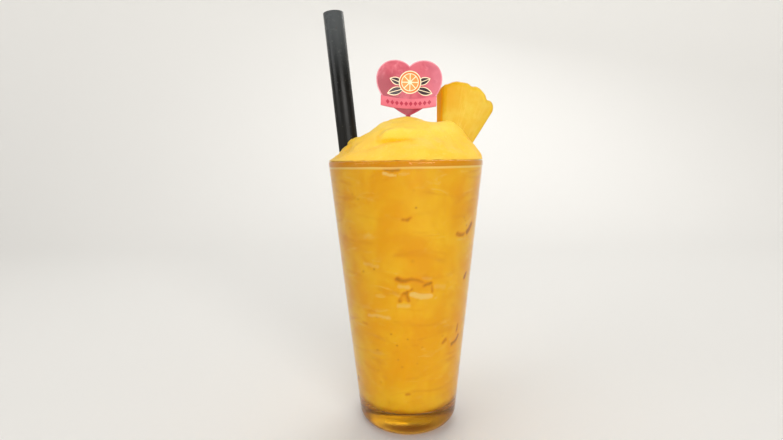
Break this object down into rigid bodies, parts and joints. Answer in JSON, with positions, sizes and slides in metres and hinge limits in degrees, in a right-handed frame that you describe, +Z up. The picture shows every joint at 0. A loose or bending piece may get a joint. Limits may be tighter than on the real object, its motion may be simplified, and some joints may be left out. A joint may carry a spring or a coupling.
{
  "type": "fruit smoothie",
  "caption": "Tall conical glass of thick mango-yellow smoothie heaped above the rim, with a wide straw, a pineapple chunk and a heart-shaped pick.",
  "frame": {"origin": "middle of the glass's foot, on the surface it stands on", "axes": "+Z up along the glass's axis; the heart-shaped pick faces -Y; the straw leans to -X and the pineapple chunk to +X"},
  "size_m": [0.0975, 0.088, 0.2385],
  "materials": {
    "clear_glass": "clear, smooth",
    "fruit_smoothie": "moist, satin, slightly translucent",
    "black_plastic": "glossy",
    "pineapple_flesh": "moist, fibrous",
    "pink_plastic": "pearly, semi-gloss"
  },
  "bodies": {
    "root": {"glass": "clear_glass", "smoothie": "fruit_smoothie", "straw": "black_plastic", "pineapple_chunk": "pineapple_flesh", "heart_pick": "pink_plastic"}
  },
  "joints": []
}
